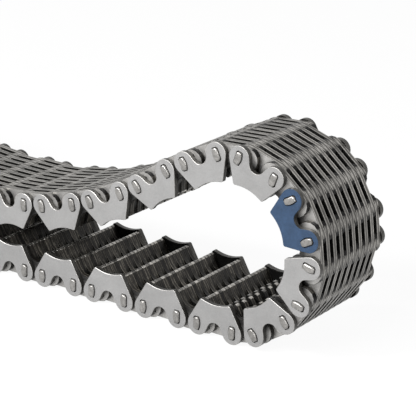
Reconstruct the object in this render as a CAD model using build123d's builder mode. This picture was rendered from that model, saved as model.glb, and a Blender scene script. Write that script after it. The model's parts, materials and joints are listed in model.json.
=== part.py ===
import os
from math import asin, degrees

from build123d import *

os.makedirs("parts", exist_ok=True)

# Silent chain, an endless inverted-tooth chain lying on its lower strand.
# Units are millimetres. Pins run along Y, the loop lies in XZ and Z is up. The origin is on the floor,
# midway between the two end loops, under a joint. Rows of plates are numbered from there along the lower
# strand towards +X and round the loop, and odd rows carry the guide plates.

# Chain size
pitch = 9.525
plate_thickness = 1.65
side_clearance = 0.0125
plain_plates = 10

# Resting shape of half the loop, as joints in a row and the bend of each towards the inside of the loop.
# The bends of the bulb, the shoulder and the dip are worked out, so that the loop closes and its two
# strands stay this far apart in the middle, between the teeth.
straight_joints = 9
entry_joints = 1
entry_bend = 12.0
bulb_joints = 9
shoulder_joints = 2
dip_joints = straight_joints - shoulder_joints
strand_clearance = 5.63
closing_rounds = 10
trial_bend = 1e-5

# Rocker pins, two to a joint, whose curved faces roll on each other at the joint's centre
pin_gap = 0.3
pin_thickness = 2.05
pin_height = 3.7
pin_face_radius = 4.0
pin_corner = 0.5
pin_protrusion = 0.6
pin_end_chamfer = 0.25
swing_clearance = 0.2

# Plate profile, in the plate's own frame: X along the chain and Y towards the teeth
link_ear_gap = 1.45
link_ear_rise = 0.15
link_ear_radius = 3.5
guide_ear_gap = 0.745
guide_ear_drop = 0.3
guide_ear_radius = 3.25
toe_radius = 0.75
tooth_height = 7.25
crotch_height = 2.0

# Guide plate profile. The hollow touches both corners and the notch touches both ears, each but for a
# margin, which a short straight bridges.
guide_height = 7.7
guide_corner_radius = 0.6
guide_corner_inset = 0.11
hollow_radius = 12.0
hollow_margin = 0.037
notch_height = 1.45
notch_margin = 0.288

# The guide plate that is painted as a timing mark
timing_row = 15

layer_step = plate_thickness + side_clearance
guide_layer = plain_plates
joint_x = pitch / 2
link_ear_x = pitch - link_ear_gap / 2 - link_ear_radius
guide_ear_x = pitch - guide_ear_gap / 2 - guide_ear_radius
seat_x = joint_x + pin_gap / 2
floor_to_pins = guide_ear_drop + guide_ear_radius
strand_height = 2 * tooth_height + strand_clearance


def straight_between(first, second):
    """Ends of the straight that touches two rounds. A round is (centre, radius) and the radius is
    positive where its centre lies left of the straight."""
    way = second[0] - first[0]
    lean = degrees(asin((second[1] - first[1]) / way.length))
    normal = way.normalized().rotate(Axis.Z, 90 - lean)
    return first[0] - normal * first[1], second[0] - normal * second[1]


def outline_through(rounds):
    """Draws a closed outline of straights and arcs, counterclockwise round the plate."""
    straights = [straight_between(a, b) for a, b in zip(rounds, rounds[1:] + rounds[:1])]
    for (centre, radius), before, after in zip(rounds, straights[-1:] + straights[:-1], straights):
        Line(*after)
        bisector = (before[1] + after[0]) / 2 - centre
        ThreePointArc(before[1], centre + bisector.normalized() * abs(radius), after[0])


def mirrored(rounds):
    """The same rounds on the other side of the plate's centre line, in reverse order."""
    return [(Vector(-centre.X, centre.Y), radius) for centre, radius in reversed(rounds)]


def pin_profile(side):
    """Draws a rocker pin's section at the right joint (side 1) or the left one (side -1)."""
    with BuildSketch(mode=Mode.PRIVATE) as section:
        with Locations((side * (seat_x + pin_thickness / 2), 0)):
            Rectangle(pin_thickness, pin_height)
        chamfer(section.vertices().group_by(Axis.X)[-1 if side > 0 else 0], pin_corner)
        with Locations((side * (seat_x + pin_face_radius), 0)):
            Circle(pin_face_radius, mode=Mode.INTERSECT)
    return section.sketch


def swing_window(side):
    """Draws the room in which the next row's pin rocks, open to this row's own pin seat."""
    farthest = Vector(pin_gap / 2 + pin_thickness, pin_height / 2 - pin_corner)
    reach = farthest.length + swing_clearance
    with BuildSketch(mode=Mode.PRIVATE) as window:
        with Locations((side * joint_x, 0)):
            Circle(reach)
            face_end = pin_gap / 2 + pin_face_radius - (pin_face_radius**2 - pin_height**2 / 4) ** 0.5
            with Locations((side * (face_end + reach / 2), 0)):
                Rectangle(reach, 2 * reach, mode=Mode.SUBTRACT)
    return window.sketch


def make_link_plate():
    """A tooth plate: two toes, two ears and an opening at each joint for both rocker pins. In a straight
    chain, its inner flanks lie in line with the outer flanks of the next rows."""
    ear = (Vector(link_ear_x, link_ear_rise), link_ear_radius)
    toe = (Vector(joint_x, tooth_height - toe_radius), toe_radius)
    flank_foot, flank_top = straight_between(ear, toe)
    outwards = (flank_top - flank_foot).normalized().rotate(Axis.Z, -90)
    next_crotch = Vector(pitch, crotch_height)
    crotch_radius = (next_crotch - flank_foot).dot(outwards) / (1 - outwards.Y)
    crotch = (Vector(0, crotch_height + crotch_radius), -crotch_radius)
    right = [ear, toe]
    with BuildPart() as plate:
        with BuildSketch(Plane.XY.offset(-plate_thickness / 2)):
            with BuildLine():
                outline_through(right + [crotch] + mirrored(right))
            make_face()
            for side in (1, -1):
                add(swing_window(side), mode=Mode.SUBTRACT)
                add(pin_profile(side), mode=Mode.SUBTRACT)
        extrude(amount=plate_thickness)
    return plate.part


def make_guide_plate():
    """An outer plate without teeth: a hollow inner edge, and a notch between its two ears."""
    ear = (Vector(guide_ear_x, -guide_ear_drop), guide_ear_radius)
    corner = (Vector(joint_x - guide_corner_inset, guide_height - guide_corner_radius), guide_corner_radius)
    hollow_reach = hollow_radius + guide_corner_radius + hollow_margin
    hollow_y = corner[0].Y + (hollow_reach**2 - corner[0].X ** 2) ** 0.5
    hollow = (Vector(0, hollow_y), -hollow_radius)
    notch_rise = notch_height + guide_ear_drop
    ear_reach = guide_ear_radius + notch_margin
    notch_radius = (guide_ear_x**2 + notch_rise**2 - ear_reach**2) / (2 * (notch_rise + ear_reach))
    notch = (Vector(0, notch_height - notch_radius), -notch_radius)
    right = [ear, corner]
    with BuildPart() as plate:
        with BuildSketch(Plane.XY.offset(-plate_thickness / 2)):
            with BuildLine():
                outline_through(right + [hollow] + mirrored(right) + [notch])
            make_face()
            for side in (1, -1):
                add(pin_profile(side), mode=Mode.SUBTRACT)
        extrude(amount=plate_thickness)
    return plate.part


def make_pins(half_length, bevel):
    """The two rocker pins that a row carries, one in the outer end of each opening."""
    with BuildPart() as pins:
        with BuildSketch(Plane.XY.offset(-half_length)):
            for side in (1, -1):
                add(pin_profile(side))
        extrude(amount=2 * half_length)
        if bevel > 0:
            ends = pins.faces().filter_by(Axis.Z)
            chamfer(ends.edges(), bevel)
    return pins.part


def make_plates(plate, layers):
    """One plate in each of the given layers, counted from the chain's middle."""
    with BuildPart() as plates:
        with Locations([(0, 0, layer * layer_step) for layer in layers]):
            add(plate)
    return plates.part


def half_loop(bulb_bend, dip_bend):
    """Bends of the joints between the lower middle joint and the upper one, which turn half round."""
    turned = entry_joints * entry_bend + bulb_joints * bulb_bend + dip_joints * dip_bend
    shoulder_bend = (180 - turned) / shoulder_joints
    return (
        [0.0] * straight_joints
        + [entry_bend] * entry_joints
        + [bulb_bend] * bulb_joints
        + [shoulder_bend] * shoulder_joints
        + [dip_bend] * dip_joints
    )


def row_places(bends):
    """Centre and heading of each row, walking along the chain from the lower middle joint."""
    centre, heading = Vector(joint_x, 0), 0.0
    places = [(centre, heading)]
    for bend in bends:
        joint = centre + Vector(joint_x, 0).rotate(Axis.Z, heading)
        heading += bend
        centre = joint + Vector(joint_x, 0).rotate(Axis.Z, heading)
        places.append((centre, heading))
    return places


def closing_error(bulb_bend, dip_bend):
    """How far the upper middle joint lies from its place over the lower one."""
    last_row = row_places(half_loop(bulb_bend, dip_bend))[-1][0]
    return last_row - Vector(joint_x, strand_height)


def closed_bends():
    """Bends of all joints of the loop. Newton's method finds the bulb and the dip that close it."""
    bulb_bend, dip_bend = 180 / bulb_joints, 0.0
    for _ in range(closing_rounds):
        error = closing_error(bulb_bend, dip_bend)
        by_bulb = (closing_error(bulb_bend + trial_bend, dip_bend) - error) / trial_bend
        by_dip = (closing_error(bulb_bend, dip_bend + trial_bend) - error) / trial_bend
        scale = by_bulb.cross(by_dip).Z
        bulb_bend -= error.cross(by_dip).Z / scale
        dip_bend -= by_bulb.cross(error).Z / scale
    half = half_loop(bulb_bend, dip_bend)
    middle_joint = [0.0]
    return half + middle_joint + half[::-1] + middle_joint


bends = closed_bends()
places = row_places(bends)[:-1]

link_plate = make_link_plate()
guide_plate = make_guide_plate()
guide_half_width = guide_layer * layer_step + plate_thickness / 2
inner_half_width = guide_half_width - layer_step

inner_layers = range(2 - guide_layer, guide_layer - 1, 2)
plain_layers = range(1 - guide_layer, guide_layer, 2)
long_pins = make_pins(guide_half_width + pin_protrusion, pin_end_chamfer)
short_pins = make_pins(inner_half_width, 0)
inner_plates = make_plates(link_plate, inner_layers)
row_plates = make_plates(link_plate, plain_layers)
far_guide = make_plates(guide_plate, [-guide_layer])
near_guide = make_plates(guide_plate, [guide_layer])

for number, (centre, heading) in enumerate(places):
    place = Plane(
        origin=(centre.X, 0, floor_to_pins + centre.Y),
        x_dir=Vector(1, 0, 0).rotate(Axis.Y, -heading),
        z_dir=(0, -1, 0),
    )
    if number % 2:
        name = f"guide_link_{number:02d}"
        pieces = [far_guide, inner_plates, long_pins]
        if number == timing_row:
            timing_plate = near_guide.moved(place.location)
            timing_plate.label = "timing_guide_plate"
            export_step(timing_plate, "parts/timing_guide_plate.step")
        else:
            pieces = [near_guide] + pieces
    else:
        name = f"drive_link_{number:02d}"
        pieces = [row_plates, short_pins]
    solids = [solid.moved(place.location) for piece in pieces for solid in piece.solids()]
    link = Compound(label=name, children=solids)
    export_step(link, f"parts/{name}.step")
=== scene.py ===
import json
import math
import random

import bmesh
import bpy
from mathutils import Matrix, Vector


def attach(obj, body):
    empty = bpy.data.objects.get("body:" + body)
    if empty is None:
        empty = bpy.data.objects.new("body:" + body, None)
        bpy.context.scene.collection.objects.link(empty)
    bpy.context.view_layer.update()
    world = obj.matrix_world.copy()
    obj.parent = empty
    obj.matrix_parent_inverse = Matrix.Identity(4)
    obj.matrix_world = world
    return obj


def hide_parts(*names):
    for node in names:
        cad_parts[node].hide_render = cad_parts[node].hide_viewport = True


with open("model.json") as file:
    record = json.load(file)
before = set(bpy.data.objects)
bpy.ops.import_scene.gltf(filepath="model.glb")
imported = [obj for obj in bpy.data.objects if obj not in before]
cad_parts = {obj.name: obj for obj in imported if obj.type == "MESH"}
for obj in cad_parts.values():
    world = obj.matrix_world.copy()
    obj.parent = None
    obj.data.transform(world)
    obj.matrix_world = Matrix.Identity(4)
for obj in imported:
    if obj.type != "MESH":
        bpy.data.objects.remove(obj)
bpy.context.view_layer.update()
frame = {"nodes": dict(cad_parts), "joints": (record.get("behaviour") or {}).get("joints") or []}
print("packed chain loaded:", len(frame["nodes"]), "nodes")

mm = 0.001
random.seed(7)

# sizes are in mm and the scales of patterns are per m, unless a comment says otherwise
chain = {
    "layerStep": 1.6625,
    "plateThickness": 1.65,
    "guideLayer": 10,  # layers are counted from the middle of the chain
    "paintedRow": 15,
}


def rowPlaces():
    # where each row of plates lies, read from the joints
    joints = {joint["name"]: Vector(joint["pos_m"]) for joint in frame["joints"]}
    right = [joints[name] for name in sorted(joints) if name.startswith("right")]
    left = [joints[name] for name in sorted(joints) if name.startswith("left")]
    openPivot = Vector((0, 0, right[-1].z))
    ring = right + [openPivot] + left[::-1]
    places = []
    for before, after in zip(ring[-1:] + ring[:-1], ring):
        along = (after - before).normalized()
        inwards = Vector((-along.z, 0, along.x))
        turn = Matrix((along, inwards, (0, -1, 0))).transposed().to_4x4()
        places.append(Matrix.Translation((before + after) / 2) @ turn)
    return places


# Shader nodes
def newMaterial(name, colour, metallic, roughness):
    material = bpy.data.materials.new(name)
    material.use_nodes = True
    shader = material.node_tree.nodes["Principled BSDF"]
    shader.inputs["Base Color"].default_value = (*colour, 1)
    shader.inputs["Metallic"].default_value = metallic
    shader.inputs["Roughness"].default_value = roughness
    return material, material.node_tree, shader


def addNode(tree, kind, **inputs):
    node = tree.nodes.new(kind)
    for name, value in inputs.items():
        node.inputs[name].default_value = value
    return node


def feed(tree, socket, value):
    # the value is a constant or another node's output
    if isinstance(value, bpy.types.NodeSocket):
        tree.links.new(value, socket)
    else:
        socket.default_value = value


def addMath(tree, operation, first, second):
    node = tree.nodes.new("ShaderNodeMath")
    node.operation = operation
    feed(tree, node.inputs[0], first)
    feed(tree, node.inputs[1], second)
    return node.outputs[0]


def addProduct(tree, first, second):
    # colour times colour, or colour times shade
    mix = tree.nodes.new("ShaderNodeMix")
    mix.data_type = "RGBA"
    mix.blend_type = "MULTIPLY"
    factor, firstColour, secondColour = mix.inputs[0], mix.inputs[6], mix.inputs[7]
    factor.default_value = 1.0
    feed(tree, firstColour, first)
    feed(tree, secondColour, second)
    return mix.outputs[2]


def addRange(tree, value, low, high, start=0.0, end=1.0):
    # low up to start, high from end on, and evenly between the two
    limits = {"From Min": start, "From Max": end, "To Min": low, "To Max": high}
    span = addNode(tree, "ShaderNodeMapRange", **limits)
    tree.links.new(value, span.inputs["Value"])
    return span.outputs["Result"]


def addShadeRamp(tree, value, stops):
    # stops are (position, shade of grey)
    ramp = tree.nodes.new("ShaderNodeValToRGB")
    elements = ramp.color_ramp.elements
    while len(elements) < len(stops):
        elements.new(0.5)
    for element, (position, shade) in zip(elements, stops):
        element.position = position
        element.color = (shade, shade, shade, 1)
    tree.links.new(value, ramp.inputs["Fac"])
    return ramp.outputs["Color"]


def addAttribute(tree, name):
    attribute = tree.nodes.new("ShaderNodeAttribute")
    attribute.attribute_name = name
    return attribute.outputs["Fac"]


# Finishes
pattern = {
    "detail": 3,
    "darkestAt": 0.32,
    "lightestAt": 0.68,
    "bandRough": 0.65,
    "glossRough": 0.6,
    "bumpRough": 0.7,
    "evenStretch": (1, 1, 1),
    "lineStretch": (0.12, 1, 0.12),  # draws the noise out into lines round a plate's edge
    "bumpDistance": 0.00005,  # in m
}
# where the painted light and shade across a plate begin and end, in layers from its middle
acrossLightStops = {"middleEnds": 0.22, "edgeBegins": 0.33, "edgeEnds": 0.41, "jointBegins": 0.475}


def patternPlace(tree, stretch):
    coordinates = tree.nodes.new("ShaderNodeTexCoord")
    mapping = addNode(tree, "ShaderNodeMapping", Scale=stretch)
    tree.links.new(coordinates.outputs["Object"], mapping.inputs["Vector"])
    return mapping.outputs["Vector"]


def addNoise(tree, place, scale, rough):
    noise = addNode(tree, "ShaderNodeTexNoise", Scale=scale, Detail=pattern["detail"], Roughness=rough)
    tree.links.new(place, noise.inputs["Vector"])
    return noise.outputs["Fac"]


def addBand(tree, place, scale, darkest, lightest):
    # noise between two shades
    noise = addNoise(tree, place, scale, pattern["bandRough"])
    return addShadeRamp(tree, noise, [(pattern["darkestAt"], darkest), (pattern["lightestAt"], lightest)])


def addTone(tree, low, high):
    # each plate carries its own shade in the attribute "tone"
    return addRange(tree, addAttribute(tree, "tone"), low, high)


def addPaintedRecessShade(tree, brightBelow, darkAbove, darkest):
    # painted shade in the recesses: the attribute height is Y in the plate's own frame; the plate keeps its
    # colour below brightBelow and is darkened towards darkest above darkAbove, where it sinks between its
    # neighbours
    return addRange(tree, addAttribute(tree, "height"), 1.0, darkest, brightBelow, darkAbove)


def addAcrossLight(tree, middle, edge, joint):
    # painted light and shade across a plate's thickness, as if its edges were rounded: its middle, its two
    # edges (a painted highlight where brighter than 1) and painted shadow in the joint to the next plate
    coordinates = tree.nodes.new("ShaderNodeTexCoord")
    split = tree.nodes.new("ShaderNodeSeparateXYZ")
    tree.links.new(coordinates.outputs["Object"], split.inputs["Vector"])
    layers = addMath(tree, "DIVIDE", split.outputs["Y"], chain["layerStep"] * mm)
    fromMiddle = addMath(tree, "PINGPONG", layers, 0.5)
    return addShadeRamp(tree, fromMiddle, list(zip(acrossLightStops.values(), (middle, edge, edge, joint))))


def addBump(tree, shader, height, strength):
    bump = addNode(tree, "ShaderNodeBump", Strength=strength, Distance=pattern["bumpDistance"])
    tree.links.new(height, bump.inputs["Height"])
    tree.links.new(bump.outputs["Normal"], shader.inputs["Normal"])


def makeSteel(name, look):
    # clouds, grain and lines are (pattern scale, darkest, lightest); tone, the painted light across a
    # plate and the painted shade of its recesses are what the functions above take
    material, tree, shader = newMaterial(name, look["colour"], look["metallic"], look["roughness"])
    shader.inputs["Specular IOR Level"].default_value = look.get("specular", 0.5)
    even = patternPlace(tree, pattern["evenStretch"])
    lined = patternPlace(tree, pattern["lineStretch"])
    shades = [addBand(tree, even, *look["clouds"]), addBand(tree, even, *look["grain"]),
              addBand(tree, lined, *look["lines"]), addTone(tree, *look["tone"])]
    # painted light and shade across the plate, and painted shade in its recesses
    if "across" in look:
        shades.append(addAcrossLight(tree, *look["across"]))
    if "recessShade" in look:
        shades.append(addPaintedRecessShade(tree, *look["recessShade"]))
    colour = (*look["colour"], 1)
    for shade in shades:
        colour = addProduct(tree, colour, shade)
    tree.links.new(colour, shader.inputs["Base Color"])
    gloss = addNoise(tree, even, look["grain"][0] / 2, pattern["glossRough"])
    smoothest, roughest = look["roughness"] - look["roughSpread"], look["roughness"] + look["roughSpread"]
    tree.links.new(addRange(tree, gloss, smoothest, roughest), shader.inputs["Roughness"])
    place, scale = (lined, look["lines"][0]) if look["bumpAlongLines"] else (even, look["grain"][0])
    addBump(tree, shader, addNoise(tree, place, scale, pattern["bumpRough"]), look["bump"])
    return material


# flat outer side of a guide plate, ground and tumbled
guideFace = {"colour": (0.3, 0.297, 0.294), "metallic": 0.8, "roughness": 0.42, "roughSpread": 0.05,
             "clouds": (200, 0.94, 1.05), "grain": (2600, 0.94, 1.05), "lines": (900, 0.99, 1.01),
             "tone": (0.96, 1.04), "bump": 0.15, "bumpAlongLines": False}
# flat side of the outermost tooth plates, with painted shade towards the teeth, where it lies in the gaps
# between the guide plates
linkFace = {"colour": (0.37, 0.362, 0.35), "metallic": 0.8, "roughness": 0.4, "roughSpread": 0.06,
            "clouds": (300, 0.88, 1.05), "grain": (1800, 0.9, 1.06), "lines": (900, 0.99, 1.01),
            "tone": (0.92, 1.06), "bump": 0.2, "bumpAlongLines": False,
            "recessShade": (-0.5, 2.0, 0.14)}
# flat sides inside the stack and walls of the pin holes, painted near black for the shade inside the stack
shadedInsideFace = {"colour": (0.004, 0.0039, 0.0036), "metallic": 0.0, "roughness": 0.6, "roughSpread": 0.1,
              "clouds": (300, 0.7, 1.2), "grain": (1200, 0.7, 1.3), "lines": (900, 0.95, 1.05),
              "tone": (0.8, 1.2), "bump": 0.2, "bumpAlongLines": False, "specular": 0.08}
# backs of the tooth plates, blanked, with fine lines, with painted highlights along their edges and
# painted shade in the slots between the ears and in the joints between plates
plateBack = {"colour": (0.27, 0.26, 0.243), "metallic": 0.85, "roughness": 0.43, "roughSpread": 0.08,
             "clouds": (260, 0.8, 1.12), "grain": (1500, 0.8, 1.2), "lines": (2600, 0.72, 1.25),
             "tone": (0.75, 1.15), "bump": 0.2, "bumpAlongLines": True, "specular": 0.2,
             "across": (0.45, 1.45, 0.03), "recessShade": (-3.2, -2.8, 0.02)}
# flanks of the teeth and the crotch between them, dark with oil and painted darker for the shade
# between the teeth, streaked, with painted highlights along the plate edges and painted shadow in the
# joints
toothFlankOilAndShade = {"colour": (0.026, 0.0237, 0.02), "metallic": 0.4, "roughness": 0.36, "roughSpread": 0.1,
              "clouds": (420, 0.6, 1.4), "grain": (1500, 0.7, 1.4), "lines": (1700, 0.2, 2.2),
              "tone": (0.25, 1.9), "bump": 0.6, "bumpAlongLines": True, "specular": 0.25,
              "across": (0.6, 2.0, 0.05)}
# crests of the teeth, painted bright for the highlight the rounded toes catch, with painted shadow in the
# joints
toothCrestHighlight = {"colour": (0.34, 0.325, 0.3), "metallic": 0.9, "roughness": 0.22, "roughSpread": 0.08,
              "clouds": (420, 0.6, 1.2), "grain": (1800, 0.6, 1.3), "lines": (1700, 0.8, 1.2),
              "tone": (0.3, 1.5), "bump": 0.4, "bumpAlongLines": True, "across": (1.1, 0.7, 0.05)}
# broken corners of the tooth plates, painted lighter than the backs for the highlight they catch, with
# painted shade in the recesses and joints
linkRimLightAndShade = {"colour": (0.33, 0.32, 0.3), "metallic": 0.85, "roughness": 0.45, "roughSpread": 0.06,
           "clouds": (300, 0.7, 1.2), "grain": (1500, 0.8, 1.2), "lines": (900, 0.95, 1.05),
           "tone": (0.7, 1.2), "bump": 0.05, "bumpAlongLines": False, "specular": 0.2,
           "across": (1.1, 1.1, 0.04), "recessShade": (-3.2, -2.6, 0.06)}
# sheared edges of the guide plates, painted dark for the shade along them
shadedGuideEdge = {"colour": (0.045, 0.043, 0.039), "metallic": 0.6, "roughness": 0.42, "roughSpread": 0.08,
             "clouds": (300, 0.7, 1.3), "grain": (1500, 0.7, 1.3), "lines": (2600, 0.7, 1.3),
             "tone": (0.8, 1.2), "bump": 0.2, "bumpAlongLines": True}
# broken corners of the guide plates, painted lighter than the face for the highlight they catch
guideRimHighlight = {"colour": (0.36, 0.352, 0.34), "metallic": 0.85, "roughness": 0.4, "roughSpread": 0.08,
            "clouds": (300, 0.75, 1.15), "grain": (1500, 0.8, 1.15), "lines": (900, 0.95, 1.05),
            "tone": (0.9, 1.1), "bump": 0.2, "bumpAlongLines": False}
# rocker pins, hardened and cut off flat
pinSteel = {"colour": (0.27, 0.262, 0.25), "metallic": 0.85, "roughness": 0.32, "roughSpread": 0.06,
            "clouds": (900, 0.75, 1.12), "grain": (2400, 0.82, 1.12), "lines": (900, 0.98, 1.02),
            "tone": (0.9, 1.1), "bump": 0.12, "bumpAlongLines": False}
# paint of the timing mark
bluePaint = {"colour": (0.016, 0.034, 0.068), "metallic": 0.0, "roughness": 0.4, "roughSpread": 0.06,
             "clouds": (300, 0.88, 1.1), "grain": (1300, 0.88, 1.12), "lines": (900, 0.99, 1.01),
             "tone": (1.0, 1.0), "bump": 0.2, "bumpAlongLines": False, "specular": 0.25}

# Plates and pins, drawn in the row's own frame: X along the chain, Y towards the teeth.
# A round is (x, y, radius, steps), and its radius is negative where it hollows the outline.
linkShape = {
    "ear": (5.3, 0.15, 3.5, 5),
    "toe": (4.7625, 6.5, 0.75, 3),
    "crotch": (0, 6.41, -3.31, 4),
    "edgeBreak": 0.09,
    "backBelow": -0.5,  # the edge is a plain back below this Y, and a tooth flank above it
    "crestAbove": 6.75,
    "pinHoles": False,
}
guideShape = {
    "ear": (5.9025, -0.3, 3.25, 14),
    "corner": (4.6525, 7.1, 0.6, 4),
    "hollow": (0, 18.849, -12.0, 6),
    "notch": (0, -0.95, -2.4, 10),
    "edgeBreak": 0.12,
    "backBelow": 20,  # above the plate, so that its whole edge is a back
    "crestAbove": 20,
    "pinHoles": True,
    "pinRoom": 0.22,  # round a pin in its hole
    "holeMargin": (0.5, 0.3),  # faces this far outside a pin's section still belong to its hole
}
pinShape = {
    "inner": 4.9125,  # from the row's middle to the crowned face
    "thickness": 2.05,
    "height": 3.7,
    "corner": 0.5,
    "crown": 4.0,
    "crownSteps": 5,
    "proud": 0.6,  # how far a long pin stands out of the guide plates
    "endRound": 0.42,
    "endSegments": 3,
}
# in degrees: plates and pins are shaded sharp at edges that bend more, and a plate's rim is broken there
sharpBend = {"plate": 32, "pin": 38, "rim": 57}
levelWithin = 1e-6
flatSide = 0.5  # a plate's flat side has a normal with at least this Z

# material slots of a plate
outerSide, innerSide, backEdge, flankEdge, crestEdge, brokenCorner = range(6)


def vertsIn(items):
    return [item for item in items if isinstance(item, bmesh.types.BMVert)]


def toMesh(shape, name):
    mesh = bpy.data.meshes.new(name)
    shape.to_mesh(mesh)
    shape.free()
    return mesh


def mirroredRounds(rounds):
    return [(-x, y, radius, steps) for x, y, radius, steps in reversed(rounds)]


def tangent(first, second):
    # straight that touches two rounds
    (ax, ay, ar, _), (bx, by, br, _) = first, second
    way = Vector((bx - ax, by - ay))
    lean = math.asin((br - ar) / way.length)
    normal = Matrix.Rotation(math.pi / 2 - lean, 2) @ way.normalized()
    return Vector((ax, ay)) - normal * ar, Vector((bx, by)) - normal * br


def drawArc(shape, start, centre, sweep, steps):
    first = shape.verts.new((*start, 0))
    arc = bmesh.ops.spin(shape, geom=[first], cent=(*centre, 0), axis=(0, 0, 1), angle=sweep, steps=steps)
    return first, vertsIn(arc["geom_last"])[0]


def drawOutline(shape, rounds):
    # an arc on each round, counterclockwise, and straights between the arcs
    straights = [tangent(a, b) for a, b in zip(rounds, rounds[1:] + rounds[:1])]
    firsts, lasts = [], []
    for (x, y, radius, steps), before, after in zip(rounds, straights[-1:] + straights[:-1], straights):
        start, end = before[1] - Vector((x, y)), after[0] - Vector((x, y))
        sweep = (math.atan2(end.y, end.x) - math.atan2(start.y, start.x)) % (2 * math.pi)
        if radius < 0:
            sweep -= 2 * math.pi
        first, last = drawArc(shape, before[1], (x, y), sweep, steps)
        firsts.append(first)
        lasts.append(last)
    for last, following in zip(lasts, firsts[1:] + firsts[:1]):
        shape.edges.new((last, following))


def drawPin(shape, side, room):
    # a pin's section grown by the room, with a crowned face towards the joint and two cut corners behind
    half = pinShape["height"] / 2 + room
    inner = pinShape["inner"] - room
    back = pinShape["inner"] + pinShape["thickness"] + room
    crown = pinShape["crown"] + room
    cut = pinShape["corner"]
    sag = crown - math.sqrt(crown ** 2 - half ** 2)
    sweep = side * 2 * math.asin(half / crown)
    start, centre = (side * (inner + sag), half), (side * (inner + crown), 0)
    first, last = drawArc(shape, start, centre, sweep, pinShape["crownSteps"])
    behind = [(back - cut, -half), (back, cut - half), (back, half - cut), (back - cut, half)]
    ring = [last] + [shape.verts.new((side * x, y, 0)) for x, y in behind] + [first]
    for a, b in zip(ring, ring[1:]):
        shape.edges.new((a, b))


def thicken(shape, thickness):
    grown = bmesh.ops.extrude_face_region(shape, geom=shape.faces[:])["geom"]
    bmesh.ops.translate(shape, verts=vertsIn(grown), vec=(0, 0, thickness))
    bmesh.ops.translate(shape, verts=shape.verts[:], vec=(0, 0, -thickness / 2))
    bmesh.ops.recalc_face_normals(shape, faces=shape.faces[:])


def isLevel(edge):
    return abs(edge.verts[0].co.z - edge.verts[1].co.z) < levelWithin


def bends(edge, angle):
    return edge.calc_face_angle(0) > math.radians(angle)


def breakEdges(shape, edges, width, segments):
    return bmesh.ops.bevel(shape, geom=edges, offset=width, offset_type="OFFSET", segments=segments,
                           profile=0.5, affect="EDGES", material=-1)["faces"]


def smoothBut(shape, angle):
    for face in shape.faces:
        face.smooth = True
    for edge in shape.edges:
        if len(edge.link_faces) == 2 and bends(edge, angle):
            edge.smooth = False


def inPinHole(look, spot):
    if not look["pinHoles"]:
        return False
    alongMargin, upMargin = look["holeMargin"]
    inner, outer = pinShape["inner"], pinShape["inner"] + pinShape["thickness"]
    insideAlong = inner - alongMargin < abs(spot.x) < outer + alongMargin
    return insideAlong and abs(spot.y) < pinShape["height"] / 2 + upMargin


def plateSlot(face, look, outermost):
    spot = face.calc_center_median()
    if face.normal.z > flatSide and outermost:
        return outerSide
    if abs(face.normal.z) > flatSide or inPinHole(look, spot):
        return innerSide
    if spot.y < look["backBelow"]:
        return backEdge
    return crestEdge if spot.y > look["crestAbove"] else flankEdge


def brokenSlot(face, look):
    # a guide plate's corners towards the stack get the painted shade of its edges
    if look["pinHoles"] and face.normal.z < 0:
        return backEdge
    return brokenCorner if face.calc_center_median().y < look["crestAbove"] else crestEdge


def makePlate(rounds, look, outermost):
    shape = bmesh.new()
    drawOutline(shape, rounds)
    if look["pinHoles"]:
        drawPin(shape, 1, look["pinRoom"])
        drawPin(shape, -1, look["pinRoom"])
        bmesh.ops.triangle_fill(shape, edges=shape.edges[:], use_beauty=True)
    else:
        bmesh.ops.contextual_create(shape, geom=shape.edges[:])
    thicken(shape, chain["plateThickness"])
    for face in shape.faces:
        face.material_index = plateSlot(face, look, outermost)
    rim = []
    for edge in shape.edges:
        middle = (edge.verts[0].co + edge.verts[1].co) / 2
        if isLevel(edge) and bends(edge, sharpBend["rim"]) and not inPinHole(look, middle):
            rim.append(edge)
    for face in breakEdges(shape, rim, look["edgeBreak"], segments=1):
        face.material_index = brokenSlot(face, look)
    smoothBut(shape, sharpBend["plate"])
    return toMesh(shape, "plate")


def makeLinkPlate(outermost):
    right = [linkShape["ear"], linkShape["toe"]]
    return makePlate(right + [linkShape["crotch"]] + mirroredRounds(right), linkShape, outermost)


def makeGuidePlate():
    right = [guideShape["ear"], guideShape["corner"]]
    rounds = right + [guideShape["hollow"]] + mirroredRounds(right) + [guideShape["notch"]]
    return makePlate(rounds, guideShape, True)


def makePin(halfLength, endRound):
    shape = bmesh.new()
    drawPin(shape, 1, 0)
    bmesh.ops.contextual_create(shape, geom=shape.edges[:])
    thicken(shape, 2 * halfLength)
    if endRound:
        rim = [edge for edge in shape.edges if isLevel(edge)]
        breakEdges(shape, rim, endRound, segments=pinShape["endSegments"])
    smoothBut(shape, sharpBend["pin"])
    return toMesh(shape, "pin")


# Rows
def addObject(name, data):
    thing = bpy.data.objects.new(name, data)
    bpy.context.scene.collection.objects.link(thing)
    return thing


def gather(name, parts, place, materials):
    # parts are (mesh, shift across the chain, axis of a half turn or None) in the row's own frame
    whole = bmesh.new()
    tone = whole.verts.layers.float.new("tone")
    # height places the painted shade of the recesses
    height = whole.verts.layers.float.new("height")
    for part, shift, turnedAbout in parts:
        before = len(whole.verts)
        whole.from_mesh(part)
        whole.verts.ensure_lookup_table()
        fresh = whole.verts[before:]
        shade = random.random()
        for vert in fresh:
            vert[tone] = shade
            vert[height] = vert.co.y
        if turnedAbout:
            halfTurn = Matrix.Rotation(math.pi, 3, turnedAbout)
            bmesh.ops.rotate(whole, verts=fresh, cent=(0, 0, 0), matrix=halfTurn)
        bmesh.ops.translate(whole, verts=fresh, vec=(0, 0, shift))
    bmesh.ops.scale(whole, verts=whole.verts[:], vec=(mm, mm, mm))
    bmesh.ops.transform(whole, verts=whole.verts[:], matrix=place)
    mesh = toMesh(whole, name)
    for material in materials:
        mesh.materials.append(material)
    return addObject(name, mesh)


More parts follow.
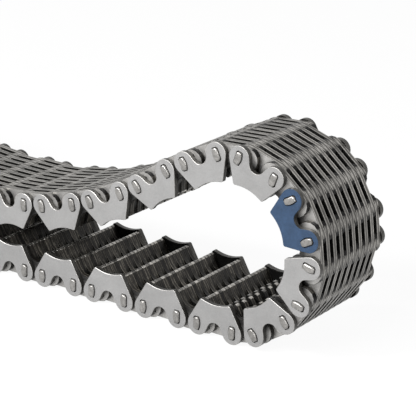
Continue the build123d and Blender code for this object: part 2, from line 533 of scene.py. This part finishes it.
# the finishes carry painted shade inside the stack, in the recesses and on the guide edges, and painted
# highlights on the rims and crests
shadedInsideSteel = makeSteel("shadedInsideFace", shadedInsideFace)
backSteel = makeSteel("plateBack", plateBack)
flankOilAndShadeSteel = makeSteel("toothFlankOilAndShade", toothFlankOilAndShade)
crestHighlightSteel = makeSteel("toothCrestHighlight", toothCrestHighlight)
linkFinish = [makeSteel("linkFace", linkFace), shadedInsideSteel, backSteel, flankOilAndShadeSteel, crestHighlightSteel,
              makeSteel("linkRimLightAndShade", linkRimLightAndShade)]
rimHighlightSteel = makeSteel("guideRimHighlight", guideRimHighlight)
shadedEdgeSteel = makeSteel("shadedGuideEdge", shadedGuideEdge)
guideFinish = [makeSteel("guideFace", guideFace), shadedInsideSteel, shadedEdgeSteel, shadedEdgeSteel, shadedEdgeSteel, rimHighlightSteel]
paint = makeSteel("bluePaint", bluePaint)
paintFinish = [paint, shadedInsideSteel, shadedEdgeSteel, shadedEdgeSteel, shadedEdgeSteel, paint]
pinFinish = [makeSteel("pinSteel", pinSteel)]
print("finishes made")

innerPlate = makeLinkPlate(False)
outerPlate = makeLinkPlate(True)
guidePlate = makeGuidePlate()
step = chain["layerStep"]
edgeOfGuides = chain["guideLayer"] * step + chain["plateThickness"] / 2
longPin = makePin(edgeOfGuides + pinShape["proud"], pinShape["endRound"])
shortPin = makePin(edgeOfGuides - step, 0)
print("plates and pins modelled")


def makeRow(number, place):
    # odd rows have guide plates and the long pins that hold them; even rows have one more tooth plate
    guided = number % 2 == 1
    top = chain["guideLayer"]
    if guided:
        node = f"guide_link_{number:02d}"
        outermost = top - 2
        pin = longPin
    else:
        node = f"drive_link_{number:02d}"
        outermost = top - 1
        pin = shortPin
    plates = [(innerPlate, layer * step, None) for layer in range(2 - outermost, outermost - 1, 2)]
    plates += [(outerPlate, outermost * step, None), (outerPlate, -outermost * step, "Y")]
    pieces = [gather(f"teeth_{number:02d}", plates, place, linkFinish),
              gather(f"pins_{number:02d}", [(pin, 0, None), (pin, 0, "Z")], place, pinFinish)]
    if guided:
        guides = [(guidePlate, -top * step, "Y")]
        if number == chain["paintedRow"]:
            blue = gather("painted_guide", [(guidePlate, top * step, None)], place, paintFinish)
            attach(blue, f"row_{number:02d}")
            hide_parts("timing_guide_plate")
        else:
            guides.append((guidePlate, top * step, None))
        pieces.append(gather(f"guides_{number:02d}", guides, place, guideFinish))
    for piece in pieces:
        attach(piece, f"row_{number:02d}")
        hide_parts(node)


for number, place in enumerate(rowPlaces()):
    makeRow(number, place)
print("rows assembled")

# Floor, light and camera
studio = {
    "floorSize": 6000,
    "floorDrop": 0.05,
    "floorColour": (0.9, 0.9, 0.9),
    "floorRoughness": 0.8,
    "floorGlow": 0.93,
    "worldLight": 0.34,
}


def seenByEye(tree):
    # 1 for rays from the camera and for what shows in a reflection, 0 for rays that only light
    path = tree.nodes.new("ShaderNodeLightPath")
    return addMath(tree, "MAXIMUM", path.outputs["Is Camera Ray"], path.outputs["Is Glossy Ray"])


def makeFloor():
    shape = bmesh.new()
    bmesh.ops.create_grid(shape, x_segments=1, y_segments=1, size=studio["floorSize"] / 2 * mm)
    bmesh.ops.translate(shape, verts=shape.verts[:], vec=(0, 0, -studio["floorDrop"] * mm))
    mesh = toMesh(shape, "floor")
    material, tree, shader = newMaterial("whiteFloor", studio["floorColour"], 0.0, studio["floorRoughness"])
    glow = addNode(tree, "ShaderNodeEmission", Color=(1, 1, 1, 1), Strength=1.0)
    mix = tree.nodes.new("ShaderNodeMixShader")
    tree.links.new(addMath(tree, "MULTIPLY", seenByEye(tree), studio["floorGlow"]), mix.inputs[0])
    tree.links.new(shader.outputs["BSDF"], mix.inputs[1])
    tree.links.new(glow.outputs["Emission"], mix.inputs[2])
    tree.links.new(mix.outputs["Shader"], tree.nodes["Material Output"].inputs["Surface"])
    mesh.materials.append(material)
    addObject("floor", mesh)


def makeWorld():
    world = bpy.data.worlds.new("studio")
    bpy.context.scene.world = world
    world.use_nodes = True
    background = world.node_tree.nodes["Background"]
    background.inputs["Color"].default_value = (1, 1, 1, 1)
    strength = addRange(world.node_tree, seenByEye(world.node_tree), studio["worldLight"], 1.0)
    world.node_tree.links.new(strength, background.inputs["Strength"])


# power is in W
lamps = [
    {"name": "key", "place": (-330, -600, 560), "aim": (60, 0, 20), "size": 200, "power": 10.0},
    {"name": "near", "place": (90, -230, 190), "aim": (110, 0, 40), "size": 120, "power": 0.7},
    {"name": "side", "place": (700, -200, 380), "aim": (80, 0, 20), "size": 300, "power": 2.2},
]


def makeLamps():
    for lamp in lamps:
        light = bpy.data.lights.new(lamp["name"], "AREA")
        light.shape = "SQUARE"
        light.size = lamp["size"] * mm
        light.energy = lamp["power"]
        thing = addObject(lamp["name"], light)
        place, aim = Vector(lamp["place"]) * mm, Vector(lamp["aim"]) * mm
        thing.location = place
        thing.rotation_euler = (aim - place).to_track_quat("-Z", "Y").to_euler()


# turn is in degrees, clip in m
cameraSetup = {
    "place": (340.45, -382.27, 195.84),
    "turn": (70.501, -1.395, 35.243),
    "lens": 148.07,
    "sensor": 36,
    "clip": (0.01, 20),
}


def makeCamera():
    data = bpy.data.cameras.new("camera")
    data.lens = cameraSetup["lens"]
    data.sensor_width = cameraSetup["sensor"]
    data.clip_start, data.clip_end = cameraSetup["clip"]
    camera = addObject("camera", data)
    camera.location = Vector(cameraSetup["place"]) * mm
    camera.rotation_euler = [math.radians(angle) for angle in cameraSetup["turn"]]
    bpy.context.scene.camera = camera


makeFloor()
makeWorld()
makeLamps()
makeCamera()
bpy.context.scene.view_settings.view_transform = "Standard"
print("studio ready")
